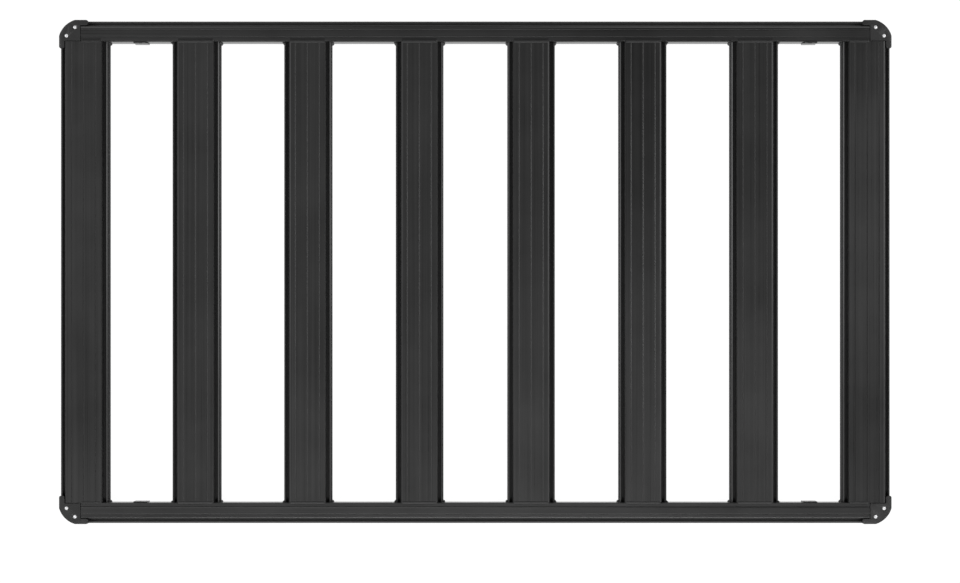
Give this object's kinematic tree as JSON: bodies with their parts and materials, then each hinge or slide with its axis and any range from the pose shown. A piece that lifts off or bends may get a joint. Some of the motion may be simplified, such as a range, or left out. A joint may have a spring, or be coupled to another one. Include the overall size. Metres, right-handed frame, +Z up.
{
  "type": "flat platform roof rack",
  "caption": "Flat platform roof rack with hollow cross slats welded between two side rails, bolt slots along every edge, rounded corner covers and mounting brackets underneath.",
  "frame": {"origin": "middle of the rack in plan, at the underside of the mounting brackets", "axes": "+X along the rack's length, towards its front; +Y to its left, along the slats; +Z up"},
  "size_m": [2.125, 1.287, 0.0435],
  "materials": {
    "alloy": "satin black powder coat",
    "weld": "satin black powder coat over weld ripples",
    "cover": "fine moulded grain",
    "bracket_steel": "black powder coat",
    "stainless": "bright stainless"
  },
  "bodies": {
    "root": {"slat_1": "alloy", "slat_2": "alloy", "slat_3": "alloy", "slat_4": "alloy", "slat_5": "alloy", "slat_6": "alloy", "slat_7": "alloy", "slat_8": "alloy", "left_rail": "alloy", "right_rail": "alloy", "cover_top_front_left": "cover", "cover_top_front_right": "cover", "cover_top_rear_left": "cover", "cover_top_rear_right": "cover", "cover_bottom_front_left": "cover", "cover_bottom_front_right": "cover", "cover_bottom_rear_left": "cover", "cover_bottom_rear_right": "cover", "cover_screws_front_left": "stainless", "cover_screws_front_right": "stainless", "cover_screws_rear_left": "stainless", "cover_screws_rear_right": "stainless", "bracket_front_left": "bracket_steel", "bracket_front_right": "bracket_steel", "bracket_rear_left": "bracket_steel", "bracket_rear_right": "bracket_steel", "bracket_screws_front_left": "stainless", "bracket_screws_front_right": "stainless", "bracket_screws_rear_left": "stainless", "bracket_screws_rear_right": "stainless", "slat_welds_1": "weld", "slat_welds_2": "weld", "slat_welds_3": "weld", "slat_welds_4": "weld", "slat_welds_5": "weld", "slat_welds_6": "weld", "slat_welds_7": "weld", "slat_welds_8": "weld"}
  },
  "joints": []
}
